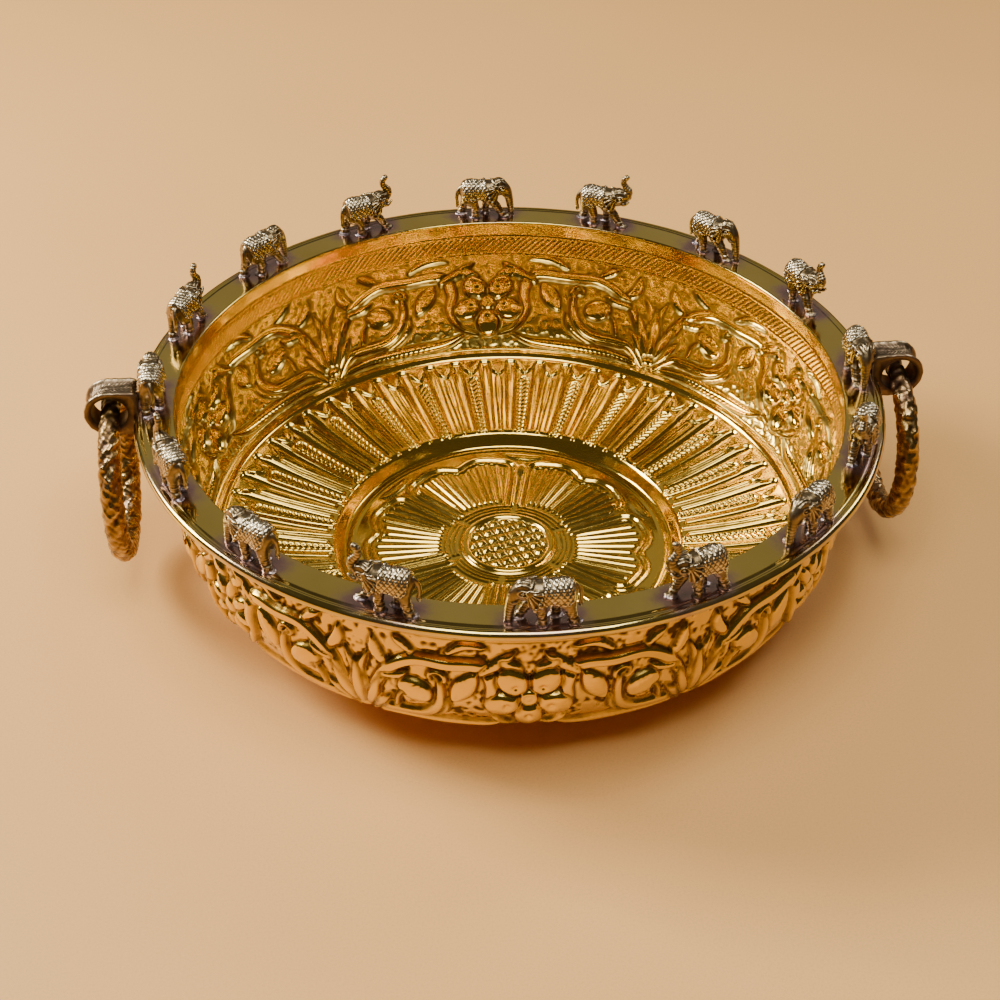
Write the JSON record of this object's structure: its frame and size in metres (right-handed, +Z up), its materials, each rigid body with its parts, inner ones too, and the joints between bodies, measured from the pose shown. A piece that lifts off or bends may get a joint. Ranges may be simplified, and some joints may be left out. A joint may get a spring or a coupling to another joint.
{
  "type": "urli bowl",
  "caption": "Round beaten-brass urli bowl with a flat brim, small cast elephants standing round the brim and a drop-ring handle on each side.",
  "frame": {"origin": "centre of the flat base, on the surface the bowl stands on", "axes": "+Z up along the bowl's axis, +X towards the right handle"},
  "size_m": [0.3992, 0.356, 0.1288],
  "materials": {
    "bowl_brass": "polished, chased relief",
    "brim_brass": "polished, plain",
    "cast_brass": "antiqued casting with rubbed highlights",
    "aged_brass": "antiqued strap with bright edges",
    "ring_brass": "antiqued hammered bar"
  },
  "bodies": {
    "root": {"bowl_shell": "bowl_brass", "brim_ring": "brim_brass", "elephant_01": "cast_brass", "elephant_02": "cast_brass", "elephant_03": "cast_brass", "elephant_04": "cast_brass", "elephant_05": "cast_brass", "elephant_06": "cast_brass", "elephant_07": "cast_brass", "elephant_08": "cast_brass", "elephant_09": "cast_brass", "elephant_10": "cast_brass", "elephant_11": "cast_brass", "elephant_12": "cast_brass", "elephant_13": "cast_brass", "elephant_14": "cast_brass", "elephant_15": "cast_brass", "elephant_16": "cast_brass", "lug_left": "aged_brass", "lug_right": "aged_brass"},
    "ring_left": {"ring_left": "ring_brass"},
    "ring_right": {"ring_right": "ring_brass"}
  },
  "joints": [
    {"name": "ring_left_swing", "type": "hinge", "parent": "root", "child": "ring_left", "pos_m": [-0.1888, 0, 0.0973], "axis": [0, 1, 0], "range_deg": [-16, 180]},
    {"name": "ring_right_swing", "type": "hinge", "parent": "root", "child": "ring_right", "pos_m": [0.1888, 0, 0.0973], "axis": [0, -1, 0], "range_deg": [-16, 180]}
  ]
}
